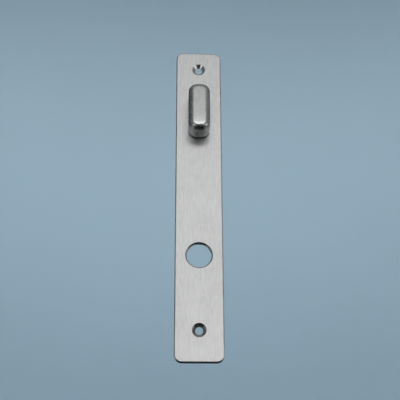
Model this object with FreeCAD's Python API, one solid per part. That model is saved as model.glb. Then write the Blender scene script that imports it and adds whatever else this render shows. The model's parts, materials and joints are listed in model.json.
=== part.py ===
import FreeCAD, Part
import math
import os

# Door backplate with a thumb turn, standing upright as it is screwed to a door.
# Millimetres. X runs across the plate, Z up it, and the visible front faces -Y.
# The origin is the centre of the plate's back face, which lies in the plane Y = 0.

# Backplate
plate_width = 36.6
plate_height = 261.6
plate_thickness = 3.0
plate_corner_radius = 5.8
plate_edge_round = 1.0

# Holes in the backplate, as heights above or below the plate's ends
lower_screw_from_bottom = 23.8
upper_screw_from_top = 16.3
lever_hole_from_bottom = 81.6
turn_axis_from_bottom = 201.8
screw_hole_diameter = 5.8
countersink_diameter = 10.7
countersink_angle = 90.0
lever_hole_diameter = 19.0
lever_hole_chamfer = 0.95

# Grip of the thumb turn: a block with rounded ends, a wide round along its front edge
# and a front face that bows forward very slightly from end to end
grip_width = 17.1
grip_length = 41.4
grip_height = 17.0
grip_crown_radius = 480.0
grip_corner_radius = 6.8
grip_front_round = 4.6
grip_base_chamfer = 0.3

# Cored underside of the grip
grip_wall = 2.3
grip_roof = 3.4
boss_diameter = 13.0

# Shank of the thumb turn
shank_diameter = 9.0
shank_reach = 8.6
shank_end_chamfer = 0.6
circlip_groove_diameter = 8.6
groove_side_play = 0.05

# Flanged bush between the shank and the backplate
bush_flange_diameter = 15.0
bush_flange_thickness = 1.3
bush_barrel_diameter = 12.0
bush_setback = 0.2

# Washers and circlip behind the plate: the first washer lies in a round recess in its back
washer_recess_diameter = 17.0
thrust_washer_diameter = 16.0
thrust_washer_thickness = 0.8
spring_washer_outer = 14.0
spring_washer_inner = 9.6
spring_washer_thickness = 0.4
spring_washer_bow = 0.9
support_washer_diameter = 14.0
support_washer_thickness = 0.5
circlip_thickness = 1.0
circlip_outer_diameter = 12.4
circlip_bore_offset = 0.35
circlip_gap_angle = 50.0
circlip_lug_diameter = 3.4
circlip_lug_hole = 1.3
circlip_lug_radius = 5.9

# Square tail bar and the slotted spring pin that holds it
tail_bar_size = 5.0
tail_bar_reach = 56.0
tail_bar_engagement = 11.0
tail_bar_end_chamfer = 0.7
spring_pin_diameter = 2.0
spring_pin_bore = 1.2
spring_pin_length = 8.4
spring_pin_slit = 0.4
spring_pin_from_shank_end = 2.6

# Fits
running_clearance = 0.05
seat_clearance = 0.02
socket_clearance = 0.05
washer_clearance = 0.1
cut_margin = 1.0

across = FreeCAD.Vector(1, 0, 0)
inward = FreeCAD.Vector(0, 1, 0)

plate_front = -plate_thickness
lower_screw_z = lower_screw_from_bottom - plate_height / 2
upper_screw_z = plate_height / 2 - upper_screw_from_top
lever_hole_z = lever_hole_from_bottom - plate_height / 2
turn_z = turn_axis_from_bottom - plate_height / 2
grip_base = plate_front - bush_flange_thickness
grip_front = grip_base - grip_height
recess_floor = -thrust_washer_thickness
bush_rear = recess_floor - bush_setback
spring_half_width = spring_washer_outer / 2
spring_bend_radius = (spring_half_width**2 + spring_washer_bow**2) / (2 * spring_washer_bow)
spring_back_radius = spring_bend_radius - spring_washer_thickness
spring_washer_rear = spring_bend_radius - math.sqrt(spring_back_radius**2 - spring_half_width**2)
circlip_front = spring_washer_rear + support_washer_thickness
shank_bore_radius = shank_diameter / 2 + running_clearance
socket_half = tail_bar_size / 2 + socket_clearance
spring_pin_y = shank_reach - spring_pin_from_shank_end


def rod(diameter, start_y, end_y, z=turn_z, x=0.0):
    """A round bar along Y between two depths."""
    start = FreeCAD.Vector(x, start_y, z)
    return Part.makeCylinder(diameter / 2, end_y - start_y, start, inward)


def ring(outer, inner, start_y, end_y):
    """A flat ring about the turn's axis."""
    hole = rod(inner, start_y - cut_margin, end_y + cut_margin)
    return rod(outer, start_y, end_y).cut(hole)


def square_bar(half, start_y, end_y):
    """A square bar about the turn's axis."""
    corner = FreeCAD.Vector(-half, start_y, turn_z - half)
    return Part.makeBox(2 * half, end_y - start_y, 2 * half, corner)


def edges_at(shape, depth, tolerance=1e-4):
    """The edges of a shape that lie wholly in the plane Y = depth."""
    found = []
    for edge in shape.Edges:
        box = edge.BoundBox
        if abs(box.YMin - depth) < tolerance and abs(box.YMax - depth) < tolerance:
            found.append(edge)
    return found


def edges_before(shape, depth):
    """The edges of a shape that lie wholly in front of the plane Y = depth."""
    return [edge for edge in shape.Edges if edge.BoundBox.YMax < depth]


def edges_from_to(shape, first, last, tolerance=1e-4):
    """The edges that run from one depth to another."""
    found = []
    for edge in shape.Edges:
        box = edge.BoundBox
        if abs(box.YMin - first) < tolerance and abs(box.YMax - last) < tolerance:
            found.append(edge)
    return found


def rounded_block(width, height, corner_radius, front_y, back_y, middle_z):
    """An upright block whose four corners are rounded as seen from the front."""
    corner = FreeCAD.Vector(-width / 2, front_y, middle_z - height / 2)
    block = Part.makeBox(width, back_y - front_y, height, corner)
    return block.makeFillet(corner_radius, edges_from_to(block, front_y, back_y))


def countersunk_hole(z):
    """The cutter for one countersunk screw hole, wide at the front face."""
    half_angle = math.radians(countersink_angle / 2)
    depth = (countersink_diameter - screw_hole_diameter) / 2 / math.tan(half_angle)
    mouth = FreeCAD.Vector(0, plate_front, z)
    cone = Part.makeCone(countersink_diameter / 2, screw_hole_diameter / 2, depth, mouth, inward)
    through = rod(screw_hole_diameter, plate_front - cut_margin, cut_margin, z)
    return cone.fuse(through)


def backplate():
    plate = rounded_block(plate_width, plate_height, plate_corner_radius, plate_front, 0, 0)
    plate = plate.makeFillet(plate_edge_round, edges_at(plate, plate_front))
    lever_hole = rod(lever_hole_diameter, plate_front - cut_margin, cut_margin, lever_hole_z)
    bush_hole = rod(bush_barrel_diameter, plate_front - cut_margin, cut_margin)
    washer_recess = rod(washer_recess_diameter, recess_floor, cut_margin)
    mouth_cone = Part.makeCone(
        lever_hole_diameter / 2 + lever_hole_chamfer,
        lever_hole_diameter / 2,
        lever_hole_chamfer,
        FreeCAD.Vector(0, plate_front, lever_hole_z),
        inward,
    )
    cutters = [lever_hole, bush_hole, washer_recess, mouth_cone]
    for z in (lower_screw_z, upper_screw_z):
        cutters.append(countersunk_hole(z))
    return plate.cut(cutters)


def turn_bush():
    flange = rod(bush_flange_diameter, grip_base, plate_front)
    barrel = rod(bush_barrel_diameter - 2 * seat_clearance, plate_front, bush_rear)
    bore = rod(2 * shank_bore_radius, grip_base - cut_margin, cut_margin)
    return flange.fuse(barrel).removeSplitter().cut(bore)


def grip_body():
    """The outside of the grip."""
    block = rounded_block(
        grip_width, grip_length, grip_corner_radius, grip_front, grip_base, turn_z
    )
    crown_start = FreeCAD.Vector(-grip_width, grip_front + grip_crown_radius, turn_z)
    crown = Part.makeCylinder(grip_crown_radius, 2 * grip_width, crown_start, across)
    block = block.common(crown)
    block = block.makeFillet(grip_front_round, edges_before(block, (grip_front + grip_base) / 2))
    return block.makeChamfer(grip_base_chamfer, edges_at(block, grip_base))


def grip_core():
    """The hollow cast into the underside, parted in two by the boss that carries the shank."""
    core = rounded_block(
        grip_width - 2 * grip_wall,
        grip_length - 2 * grip_wall,
        grip_corner_radius - grip_wall,
        grip_front + grip_roof,
        grip_base,
        turn_z,
    )
    return core.cut(rod(boss_diameter, grip_front - cut_margin, grip_base + cut_margin))


def thumb_turn():
    shank = rod(shank_diameter, grip_base, shank_reach)
    shank = shank.makeChamfer(shank_end_chamfer, edges_at(shank, shank_reach))
    groove = ring(
        shank_diameter + 2 * cut_margin,
        circlip_groove_diameter,
        circlip_front,
        circlip_front + circlip_thickness + groove_side_play,
    )
    socket = square_bar(socket_half, -tail_bar_engagement, shank_reach + cut_margin)
    pin_hole = spring_pin_envelope(spring_pin_diameter)
    return grip_body().cut(grip_core()).fuse(shank).cut([groove, socket, pin_hole])


def thrust_washer():
    return ring(
        thrust_washer_diameter,
        shank_diameter + 2 * washer_clearance,
        recess_floor,
        0,
    )


def spring_washer():
    """A ring of sheet bent about an axis across the plate, so that it bears on its middle and its ends."""
    axis_reach = spring_washer_outer
    axis_start = FreeCAD.Vector(-axis_reach / 2, spring_bend_radius, turn_z)
    front = Part.makeCylinder(spring_bend_radius, axis_reach, axis_start, across)
    back = Part.makeCylinder(spring_back_radius, axis_reach, axis_start, across)
    tube = ring(spring_washer_outer, spring_washer_inner, -cut_margin, spring_washer_rear + cut_margin)
    return front.cut(back).common(tube)


def support_washer():
    return ring(
        support_washer_diameter,
        shank_diameter + 2 * washer_clearance,
        spring_washer_rear,
        circlip_front,
    )


def retaining_circlip():
    """An open ring that is thickest opposite its gap, with a drilled lug at each end."""
    rear = circlip_front + circlip_thickness
    body = rod(circlip_outer_diameter, circlip_front, rear, turn_z + circlip_bore_offset)
    half_gap = math.radians(circlip_gap_angle / 2)
    lugs = []
    for side in (-1, 1):
        x = side * circlip_lug_radius * math.sin(half_gap)
        z = turn_z - circlip_lug_radius * math.cos(half_gap)
        body = body.fuse(rod(circlip_lug_diameter, circlip_front, rear, z, x))
        lugs.append((x, z))
    reach = circlip_outer_diameter
    corners = [FreeCAD.Vector(0, circlip_front - cut_margin, turn_z)]
    gap_angle = half_gap / 2
    for side in (-1, 1):
        x = side * reach * math.sin(gap_angle)
        corners.append(FreeCAD.Vector(x, circlip_front - cut_margin, turn_z - reach * math.cos(gap_angle)))
    corners.append(corners[0])
    gap = Part.Face(Part.makePolygon(corners)).extrude(inward * (circlip_thickness + 2 * cut_margin))
    bore = rod(circlip_groove_diameter + 2 * seat_clearance, circlip_front - cut_margin, rear + cut_margin)
    cutters = [gap, bore]
    for x, z in lugs:
        cutters.append(rod(circlip_lug_hole, circlip_front - cut_margin, rear + cut_margin, z, x))
    return body.cut(cutters)


def tail_bar():
    bar = square_bar(tail_bar_size / 2, -tail_bar_engagement, tail_bar_reach)
    bar = bar.makeChamfer(tail_bar_end_chamfer, edges_at(bar, tail_bar_reach))
    return bar.cut(spring_pin_envelope(spring_pin_diameter))


def spring_pin_envelope(diameter):
    """A round bar across the shank, longer than the shank is wide."""
    reach = shank_diameter / 2 + cut_margin
    start = FreeCAD.Vector(-reach, spring_pin_y, turn_z)
    return Part.makeCylinder(diameter / 2, 2 * reach, start, across)


def spring_pin():
    start = FreeCAD.Vector(-spring_pin_length / 2, spring_pin_y, turn_z)
    pin = Part.makeCylinder(spring_pin_diameter / 2 - seat_clearance, spring_pin_length, start, across)
    slit_corner = FreeCAD.Vector(-spring_pin_length / 2 - cut_margin, spring_pin_y, turn_z - spring_pin_slit / 2)
    slit = Part.makeBox(spring_pin_length + 2 * cut_margin, spring_pin_diameter, spring_pin_slit, slit_corner)
    return pin.cut([spring_pin_envelope(spring_pin_bore), slit])


nodes = {
    "backplate": backplate,
    "turn_bush": turn_bush,
    "thumb_turn": thumb_turn,
    "thrust_washer": thrust_washer,
    "spring_washer": spring_washer,
    "support_washer": support_washer,
    "retaining_circlip": retaining_circlip,
    "tail_bar": tail_bar,
    "spring_pin": spring_pin,
}

os.makedirs("parts", exist_ok=True)
for name, make in nodes.items():
    shape = make()
    shape.exportStep("parts/" + name + ".step")
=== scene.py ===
import json
import math

import bpy
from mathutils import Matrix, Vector


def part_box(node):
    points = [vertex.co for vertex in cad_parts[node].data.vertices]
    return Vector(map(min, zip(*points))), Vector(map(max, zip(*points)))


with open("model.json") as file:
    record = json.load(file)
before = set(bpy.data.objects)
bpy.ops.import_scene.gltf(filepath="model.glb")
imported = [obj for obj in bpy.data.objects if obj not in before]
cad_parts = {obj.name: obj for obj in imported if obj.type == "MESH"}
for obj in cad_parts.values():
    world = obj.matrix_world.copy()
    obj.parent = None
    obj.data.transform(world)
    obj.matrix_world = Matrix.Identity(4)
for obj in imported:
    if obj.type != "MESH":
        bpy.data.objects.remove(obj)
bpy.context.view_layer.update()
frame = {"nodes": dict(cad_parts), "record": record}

nodes = frame["nodes"]
mounts = {mount["name"]: mount for mount in frame["record"]["mounts"]}

# Lengths and places are in metres, in the frame of the CAD model, whose front faces -Y
MM = 0.001

# Camera: below the plate's lower end and a little to its left, looking up at it
CAMERA_PLACE = (-0.02293, -0.60013, -0.26954)
CAMERA_TURN_DEG = (113.97, 0.159, -2.206)
CAMERA_LENS_MM = 76.0
CAMERA_SENSOR_MM = 36.0
CAMERA_SEES = (0.01, 20)

# Studio: a round floor that rises through a cove into a round wall
FLOOR_Z = -0.34
WALL_RADIUS = 2.4
WALL_TOP_Z = 2.4
COVE_RADIUS = 0.7
COVE_STEPS = 14
STUDIO_SIDES = 72
FLOOR_COLOUR = (0.80, 0.79, 0.78)
WALL_COLOUR = (0.36, 0.49, 0.58)
# How far behind the plate the paint starts to leave the floor's colour, and where it has the wall's
PAINT_TURNS = (0.3, 1.5)

# Lamps: the key lamps stand in front of the object, and the wall lamps in a ring that faces the wall
KEY_COLOUR = (1.0, 0.975, 0.965)
WALL_LAMPS = 4
WALL_LAMP_COLOUR = (1.0, 1.0, 1.0)
WALL_LAMP_RADIUS = 1.0
WALL_LAMP_Z = 1.3
WALL_LAMP_TARGET_Z = 0.8
WALL_LAMP_SIZE = (2.0, 0.6)
WALL_LAMP_RADIANCE = 3.2
WORLD_STRENGTH = 0.26

# Cards for the metal to mirror: corners of their ring on the floor plan, and their heights
FRONT_LEFT = (-0.35, -0.85)
SIDE_LEFT = (-0.62, 0.45)
BACK_LEFT = (-0.25, 1.0)
FRONT_RIGHT = (0.38, -0.85)
SIDE_RIGHT = (0.62, 0.45)
BACK_RIGHT = (0.25, 1.0)
LOW_CARD_Z = -0.2
SIDE_CARD_FOOT_Z = -0.2
BACK_CARD_FOOT_Z = -0.02
CARD_TOP_Z = 0.9

# Machined zones round the plate's open holes, a hair wider than the countersink and the chamfer are
COUNTERSINK_RADIUS = 0.00536
LEVER_CHAMFER = 0.00096

# Brushed metal: a stretch is a streak's width as a share of its length,
# and the two spans are of the sum of three noises
LONG_STRETCH = 0.02
SHORT_STRETCH = 0.16
SHORT_GRAIN_SHARE = 0.36
METAL_MOTTLE_SCALE = 45
TONE_SPAN = (1.2, 1.8)
ROUGHNESS_SPAN = (1.1, 1.9)
MACHINED_ROUGHNESS_SHARE = 0.62

# Wear along edges: how wide it is, and the cosines at which it starts to show and is full
WEAR_WIDTH = 0.0004
WEAR_SAMPLES = 4
WEAR_COSINES = (0.96, 0.8)

# Painted shade in corners: how far it looks for another face, the open share at which it is full and is gone
CORNER_SHADE_REACH = 0.0022
CORNER_SHADE_SAMPLES = 8
CORNER_SHADE_OPENNESS = (0.12, 0.7)
CORNER_SHADE_DARKEST = 0.15

# Painted highlight on the front of the grip: heights above the grip's lower end at which it starts to show
# and is brightest
PAINTED_HIGHLIGHT_FROM = 0.0157
PAINTED_HIGHLIGHT_MOST = 0.0052
PAINTED_HIGHLIGHT_EDGE_HEIGHT = 0.0006
PAINTED_HIGHLIGHT_FACE_GAIN = 0.3
PAINTED_HIGHLIGHT_EDGE_GAIN = 0.45
FRONT = (0, -1, 0)
FRONT_COSINES = (0.955, 0.985)

# Other textures: most values of a noise lie in this span
NOISE_SPAN = (0.3, 0.7)
PLASTIC_GRAIN_SCALE = 2500
PLASTIC_MOTTLE_SCALE = 120
PAINT_MOTTLE_SCALE = 1.5
PAINT_SHADES = (0.97, 1.0)
CLOTH_WEAVE_SCALE = 400
CLOTH_SHADES = (0.9, 1.0)

# Numbers of a Mix node's sockets for vectors
MIX_VECTOR_A, MIX_VECTOR_B = 4, 5
MIX_VECTOR_RESULT = 1


class Graph:
    """Small helper that adds and joins the nodes of one material."""

    def __init__(self, name):
        self.material = bpy.data.materials.new(name)
        self.material.use_nodes = True
        self.tree = self.material.node_tree
        self.tree.nodes.clear()
        self.output = self.tree.nodes.new("ShaderNodeOutputMaterial")

    def add(self, kind, inputs=None, **settings):
        """Add a node. Each input is a socket to join to or a plain value."""
        node = self.tree.nodes.new(kind)
        for key, value in settings.items():
            setattr(node, key, value)
        for key, value in (inputs or {}).items():
            if isinstance(value, bpy.types.NodeSocket):
                self.tree.links.new(value, node.inputs[key])
            else:
                node.inputs[key].default_value = value
        return node

    def number(self, operation, *values):
        return self.add("ShaderNodeMath", dict(enumerate(values)), operation=operation).outputs[0]

    def vector(self, operation, *values):
        return self.add("ShaderNodeVectorMath", dict(enumerate(values)), operation=operation).outputs[0]

    def measure(self, operation, *values):
        """The number that a dot product or a length gives."""
        return self.add("ShaderNodeVectorMath", dict(enumerate(values)), operation=operation).outputs["Value"]

    def place(self):
        """Place on the object. For a CAD piece that is its place in the frame at rest."""
        return self.add("ShaderNodeTexCoord").outputs["Object"]

    def part_of(self, vector, letter):
        return self.add("ShaderNodeSeparateXYZ", {"Vector": vector}).outputs[letter]

    def finish(self, shader):
        self.tree.links.new(shader.outputs["BSDF"], self.output.inputs["Surface"])
        return self.material


def noise(graph, coords, scale, detail, roughness=0.5, stretch=(1, 1, 1)):
    """Noise over the object, stretched along an axis by a small scale there."""
    mapping = graph.add("ShaderNodeMapping", {"Vector": coords, "Scale": stretch})
    texture = graph.add(
        "ShaderNodeTexNoise",
        {"Vector": mapping.outputs["Vector"], "Scale": scale, "Detail": detail, "Roughness": roughness},
    )
    return texture.outputs["Fac"]


def stretched(axis, share):
    """Scale of a texture that runs long along one axis."""
    return [share if letter == axis else 1 for letter in "XYZ"]


def ramp(graph, value, span, result=(0, 1)):
    """Turn a span of values into a span of results, and hold the result at both ends."""
    node = graph.add(
        "ShaderNodeMapRange",
        {"Value": value, "From Min": span[0], "From Max": span[1], "To Min": result[0], "To Max": result[1]},
    )
    return node.outputs["Result"]


def mixed(graph, share, first, second):
    """Mix of two colours: the first at 0 and the second at 1."""
    node = graph.add("ShaderNodeMix", {"Factor": share}, data_type="RGBA")
    node.inputs["A"].default_value = (*first, 1)
    node.inputs["B"].default_value = (*second, 1)
    return node.outputs["Result"]


def shaded(graph, colour, value):
    """A colour times a shade."""
    return graph.add("ShaderNodeHueSaturation", {"Color": colour, "Value": value}).outputs["Color"]


def relief(graph, height, depth):
    """Normal of a fine relief."""
    node = graph.add("ShaderNodeBump", {"Height": height, "Strength": 1.0, "Distance": depth})
    return node.outputs["Normal"]


def edge_wear(graph):
    """1 along sharp outer and inner edges and 0 on flat faces."""
    soft = graph.add("ShaderNodeBevel", {"Radius": WEAR_WIDTH}, samples=WEAR_SAMPLES).outputs["Normal"]
    plain = graph.add("ShaderNodeNewGeometry").outputs["Normal"]
    return ramp(graph, graph.measure("DOT_PRODUCT", soft, plain), WEAR_COSINES)


def painted_corner_shade(graph):
    """Painted shade: 1 on open faces, and darker where faces stand close together."""
    air = graph.add("ShaderNodeAmbientOcclusion", {"Distance": CORNER_SHADE_REACH}, samples=CORNER_SHADE_SAMPLES)
    return ramp(graph, air.outputs["AO"], CORNER_SHADE_OPENNESS, (CORNER_SHADE_DARKEST, 1))


def grip_highlight_paint(graph, coords):
    """Painted highlight: over 1 on the grip's front toward its lower end, most along the edge."""
    grip_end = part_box("thumb_turn")[0].z
    brightest = grip_end + PAINTED_HIGHLIGHT_MOST
    height = graph.part_of(coords, "Z")
    near_end = ramp(graph, height, (grip_end + PAINTED_HIGHLIGHT_FROM, brightest))
    face = graph.number("MULTIPLY", graph.number("POWER", near_end, 2.0), PAINTED_HIGHLIGHT_FACE_GAIN)
    edge = ramp(graph, height, (brightest + PAINTED_HIGHLIGHT_EDGE_HEIGHT, brightest), (0, PAINTED_HIGHLIGHT_EDGE_GAIN))
    normal = graph.add("ShaderNodeTexCoord").outputs["Normal"]
    on_front = ramp(graph, graph.measure("DOT_PRODUCT", normal, FRONT), FRONT_COSINES)
    return graph.number("MULTIPLY_ADD", graph.number("ADD", face, edge), on_front, 1.0)


def plate_holes():
    """Height of the centre and radius of the machined zone of each open hole in the plate."""
    screws, lever = mounts["screw_holes"], mounts["lever_hole"]
    middle = screws["pos_m"][2]
    half = screws["dims"]["spacing_y_mm"] * MM / 2
    lever_radius = lever["dims"]["r_mm"] * MM
    return (
        (middle + half, COUNTERSINK_RADIUS),
        (middle - half, COUNTERSINK_RADIUS),
        (lever["pos_m"][2], lever_radius + LEVER_CHAMFER),
    )


def machined_zone(graph, coords, height, radius):
    """1 near the centre line of a hole through the plate, and the direction away from that line."""
    offset = graph.vector("SUBTRACT", coords, (0, 0, height))
    away = graph.vector("MULTIPLY", offset, (1, 0, 1))
    inside = graph.number("LESS_THAN", graph.measure("LENGTH", away), radius)
    return inside, graph.vector("NORMALIZE", away)


def brushed(name, dark, light, rough, grain, depth, anisotropy=0.0, axis="Z", holes=(), painted_highlight=False):
    """Metal brushed along one axis: long fine streaks, short ones and a faint broad mottle, with painted
    shade in corners and, when asked, a painted highlight on the grip.
    """
    g = Graph(name)
    coords = g.place()
    fine = noise(g, coords, grain, detail=3, roughness=0.7, stretch=stretched(axis, LONG_STRETCH))
    short_grain = SHORT_GRAIN_SHARE * grain
    short = noise(g, coords, short_grain, detail=2, roughness=0.6, stretch=stretched(axis, SHORT_STRETCH))
    broad = noise(g, coords, METAL_MOTTLE_SCALE, detail=3)
    streak = g.number("ADD", g.number("ADD", fine, short), broad)
    tone = g.number("MAXIMUM", ramp(g, streak, TONE_SPAN), edge_wear(g))
    # Painted shade in corners darkens the colour
    shade = painted_corner_shade(g)
    # On the grip, a painted highlight brightens the colour
    if painted_highlight:
        shade = g.number("MULTIPLY", shade, grip_highlight_paint(g, coords))
    roughness = ramp(g, streak, ROUGHNESS_SPAN, rough)
    tangent = g.add("ShaderNodeTangent", direction_type="RADIAL", axis=axis).outputs["Tangent"]
    for height, radius in holes:
        inside, slope = machined_zone(g, coords, height, radius)
        sockets = {"Factor": inside, MIX_VECTOR_A: tangent, MIX_VECTOR_B: slope}
        tangent = g.add("ShaderNodeMix", sockets, data_type="VECTOR").outputs[MIX_VECTOR_RESULT]
        smoother = ramp(g, inside, (0, 1), (1, MACHINED_ROUGHNESS_SHARE))
        roughness = g.number("MULTIPLY", roughness, smoother)
    shader = g.add(
        "ShaderNodeBsdfPrincipled",
        {
            "Base Color": shaded(g, mixed(g, tone, dark, light), shade),
            "Metallic": 1.0,
            "Roughness": roughness,
            "Anisotropic": anisotropy,
            "Normal": relief(g, fine, depth),
            "Tangent": tangent,
        },
    )
    return g.finish(shader)


def moulded(name, dark, light, rough, depth):
    """Moulded plastic with a faint grain."""
    g = Graph(name)
    coords = g.place()
    fine = noise(g, coords, PLASTIC_GRAIN_SCALE, detail=2)
    broad = noise(g, coords, PLASTIC_MOTTLE_SCALE, detail=2)
    shader = g.add(
        "ShaderNodeBsdfPrincipled",
        {
            "Base Color": mixed(g, broad, dark, light),
            "Roughness": ramp(g, fine, NOISE_SPAN, rough),
            "Normal": relief(g, fine, depth),
        },
    )
    return g.finish(shader)


def grey(value):
    return (value, value, value)


def dress_nodes():
    """Give each CAD piece its material. The depth is that of the fine relief."""
    materials = {
        "backplate": brushed(
            "plate_satin", dark=grey(0.58), light=grey(0.74), rough=(0.26, 0.38), grain=2400, depth=6e-6,
            anisotropy=0.6, holes=plate_holes(),
        ),
        "thumb_turn": brushed(
            "turn_satin", dark=grey(0.45), light=grey(0.53), rough=(0.26, 0.29), grain=3200, depth=0.8e-6,
            anisotropy=0.6, painted_highlight=True,
        ),
        "turn_bush": moulded(
            "bush_nylon", dark=grey(0.010), light=grey(0.018), rough=(0.45, 0.6), depth=4e-6,
        ),
        "thrust_washer": moulded(
            "washer_nylon", dark=(0.66, 0.65, 0.60), light=(0.74, 0.73, 0.69), rough=(0.4, 0.55), depth=4e-6,
        ),
        "spring_washer": brushed(
            "spring_steel", dark=(0.16, 0.16, 0.17), light=(0.26, 0.26, 0.27), rough=(0.3, 0.45),
            grain=1500, depth=3e-6,
        ),
        "support_washer": brushed(
            "washer_steel", dark=grey(0.46), light=grey(0.56), rough=(0.28, 0.42), grain=1500, depth=3e-6,
        ),
        "retaining_circlip": brushed(
            "circlip_steel", dark=(0.12, 0.12, 0.13), light=(0.2, 0.2, 0.21), rough=(0.3, 0.42),
            grain=1500, depth=3e-6,
        ),
        "tail_bar": brushed(
            "bar_zinc", dark=(0.5, 0.51, 0.53), light=(0.64, 0.65, 0.67), rough=(0.2, 0.34),
            grain=1800, depth=3e-6, axis="Y",
        ),
        "spring_pin": brushed(
            "pin_steel", dark=(0.2, 0.2, 0.21), light=(0.3, 0.3, 0.31), rough=(0.28, 0.4),
            grain=1500, depth=3e-6,
        ),
    }
    for name, material in materials.items():
        for slot in nodes[name].material_slots:
            slot.material = material


def paint_material():
    """Plain matt paint, pale grey on the floor and turning to a pale cool blue up the back wall."""
    g = Graph("studio_paint")
    coords = g.place()
    mottle = noise(g, coords, PAINT_MOTTLE_SCALE, detail=2)
    cool = ramp(g, g.part_of(coords, "Y"), PAINT_TURNS)
    colour = mixed(g, cool, FLOOR_COLOUR, WALL_COLOUR)
    shade = ramp(g, mottle, NOISE_SPAN, PAINT_SHADES)
    return g.finish(g.add("ShaderNodeBsdfDiffuse", {"Color": shaded(g, colour, shade)}))


def cloth_material(name, near, far, width):
    """Grey cloth with painted shade: its grey fades from one side to the other, as light that falls off
    across it.
    """
    g = Graph(name)
    coords = g.place()
    weave = noise(g, coords, CLOTH_WEAVE_SCALE, detail=2)
    across = ramp(g, g.part_of(coords, "X"), (-width / 2, width / 2))
    colour = mixed(g, across, grey(near), grey(far))
    shade = ramp(g, weave, NOISE_SPAN, CLOTH_SHADES)
    return g.finish(g.add("ShaderNodeBsdfDiffuse", {"Color": shaded(g, colour, shade)}))


def add_stage(name, points, faces, material):
    """Add a mesh of the studio."""
    mesh = bpy.data.meshes.new(name)
    mesh.from_pydata(points, [], faces)
    mesh.materials.append(material)
    sheet = bpy.data.objects.new(name, mesh)
    bpy.context.scene.collection.objects.link(sheet)
    return sheet


def make_studio():
    """A round floor that rises through a cove into a round wall."""
    profile = [(0.0, FLOOR_Z)]
    for step in range(COVE_STEPS + 1):
        angle = math.pi / 2 * step / COVE_STEPS
        radius = WALL_RADIUS - COVE_RADIUS + COVE_RADIUS * math.sin(angle)
        profile.append((radius, FLOOR_Z + COVE_RADIUS - COVE_RADIUS * math.cos(angle)))
    profile.append((WALL_RADIUS, WALL_TOP_Z))
    points, faces = [], []
    for radius, z in profile:
        for side in range(STUDIO_SIDES):
            turn = 2 * math.pi * side / STUDIO_SIDES
            points.append((radius * math.cos(turn), radius * math.sin(turn), z))
    for level in range(len(profile) - 1):
        low, high = level * STUDIO_SIDES, (level + 1) * STUDIO_SIDES
        for side in range(STUDIO_SIDES):
            after = (side + 1) % STUDIO_SIDES
            faces.append((low + side, low + after, high + after, high + side))
    mesh = add_stage("studio_set", points, faces, paint_material()).data
    mesh.validate()
    mesh.polygons.foreach_set("use_smooth", [True] * len(mesh.polygons))


def card(name, points, near, far, width):
    """A cloth card that only the metal's reflections show."""
    sheet = add_stage(name, points, [(0, 1, 2, 3)], cloth_material(name + "_cloth", near, far, width))
    sheet.visible_camera = False
    sheet.visible_diffuse = False
    sheet.visible_shadow = False
    return sheet


def upright_card(name, start, end, foot, near, far):
    """A card between two places on the floor plan, with the greys of its painted shade at the first and at
    the second.
    """
    start, end = Vector((*start, 0)), Vector((*end, 0))
    half = (end - start).length / 2
    points = [(-half, 0, foot), (half, 0, foot), (half, 0, CARD_TOP_Z), (-half, 0, CARD_TOP_Z)]
    sheet = card(name, points, near, far, 2 * half)
    sheet.location = (start + end) / 2
    sheet.rotation_euler = (0, 0, math.atan2(end.y - start.y, end.x - start.x))


def lying_card(name, x, y, width, depth, grey_value):
    """A card that lies level, lower than the object."""
    w, d = width / 2, depth / 2
    points = [(-w, -d, 0), (w, -d, 0), (w, d, 0), (-w, d, 0)]
    card(name, points, grey_value, grey_value, width).location = (x, y, LOW_CARD_Z)


def make_cards():
    upright_card("left_flag", FRONT_LEFT, SIDE_LEFT, SIDE_CARD_FOOT_Z, near=0.68, far=0.15)
    upright_card("right_flag", FRONT_RIGHT, SIDE_RIGHT, SIDE_CARD_FOOT_Z, near=0.74, far=0.6)
    upright_card("back_left_flag", SIDE_LEFT, BACK_LEFT, BACK_CARD_FOOT_Z, near=0.1, far=0.1)
    upright_card("back_right_flag", SIDE_RIGHT, BACK_RIGHT, BACK_CARD_FOOT_Z, near=0.5, far=0.06)
    lying_card("low_flag", x=0, y=0.17, width=0.32, depth=0.62, grey_value=0.015)
    lying_card("low_left_flag", x=-0.38, y=-0.12, width=0.44, depth=0.14, grey_value=0.1)
    lying_card("low_right_flag", x=0.38, y=-0.12, width=0.44, depth=0.14, grey_value=0.1)
    lying_card("middle_low_flag", x=0, y=-0.22, width=0.3, depth=0.16, grey_value=0.015)
    lying_card("front_low_flag", x=0, y=-0.6, width=0.3, depth=0.6, grey_value=0.12)


def softbox(name, place, target, size, radiance, colour=KEY_COLOUR):
    """A rectangular lamp of even brightness, out of the camera's sight."""
    width, height = size
    light = bpy.data.lights.new(name, "AREA")
    light.shape = "RECTANGLE"
    light.size = width
    light.size_y = height
    light.energy = radiance * math.pi * width * height
    light.color = colour
    lamp = bpy.data.objects.new(name, light)
    lamp.location = place
    lamp.rotation_euler = (Vector(target) - Vector(place)).to_track_quat("-Z", "Y").to_euler()
    lamp.visible_camera = False
    bpy.context.scene.collection.objects.link(lamp)
    return lamp


def gleam(name, place, target, size, radiance):
    """A lamp that lights nothing and only shows in the metal's reflections."""
    softbox(name, place, target, size, radiance).visible_diffuse = False


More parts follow.
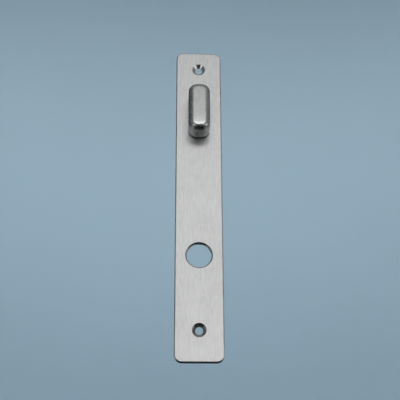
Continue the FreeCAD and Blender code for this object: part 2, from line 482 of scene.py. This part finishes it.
def make_lamps():
    softbox("key_softbox", (0.12, -1.3, 0.6), target=(0.12, 0, 0.6), size=(0.9, 1.02), radiance=0.23)
    softbox("key_wide", (0, -1.31, 0.6), target=(0, 0, 0.6), size=(1.6, 1.02), radiance=0.12)
    softbox("key_middle", (0.05, -1.29, 0.42), target=(0.05, 0, 0.42), size=(1.2, 0.66), radiance=0.05)
    softbox("key_high", (-0.1, -0.95, 1.35), target=(-0.1, 0, 0.05), size=(1.4, 0.7), radiance=0.11)
    gleam("key_line", (0.05, -2.25, -0.03), target=(0.05, 0, -0.03), size=(1.7, 0.44), radiance=1.7)
    gleam("low_right", (0.409, -0.235, -0.082), target=(0, 0, 0.08), size=(0.25, 0.17), radiance=1.1)
    gleam("low_left", (-0.42, -0.31, -0.25), target=(0, 0, 0.08), size=(0.3, 0.22), radiance=0.9)
    for number in range(WALL_LAMPS):
        turn = 2 * math.pi * number / WALL_LAMPS
        across, along = math.cos(turn), math.sin(turn)
        place = (WALL_LAMP_RADIUS * across, WALL_LAMP_RADIUS * along, WALL_LAMP_Z)
        target = (WALL_RADIUS * across, WALL_RADIUS * along, WALL_LAMP_TARGET_Z)
        name = "wall_softbox_%d" % number
        softbox(name, place, target, WALL_LAMP_SIZE, WALL_LAMP_RADIANCE, WALL_LAMP_COLOUR)


def make_world():
    """Even light from all sides that fills the shadows."""
    world = bpy.data.worlds.new("studio_world")
    world.use_nodes = True
    background = world.node_tree.nodes["Background"]
    background.inputs["Color"].default_value = (1, 1, 1, 1)
    background.inputs["Strength"].default_value = WORLD_STRENGTH
    bpy.context.scene.world = world


def make_camera():
    data = bpy.data.cameras.new("camera")
    data.lens = CAMERA_LENS_MM
    data.sensor_width = CAMERA_SENSOR_MM
    data.clip_start, data.clip_end = CAMERA_SEES
    camera = bpy.data.objects.new("camera", data)
    camera.location = CAMERA_PLACE
    camera.rotation_euler = [math.radians(angle) for angle in CAMERA_TURN_DEG]
    bpy.context.scene.collection.objects.link(camera)
    bpy.context.scene.camera = camera


dress_nodes()
make_studio()
make_lamps()
make_cards()
make_world()
make_camera()
bpy.context.scene.view_settings.view_transform = "Standard"
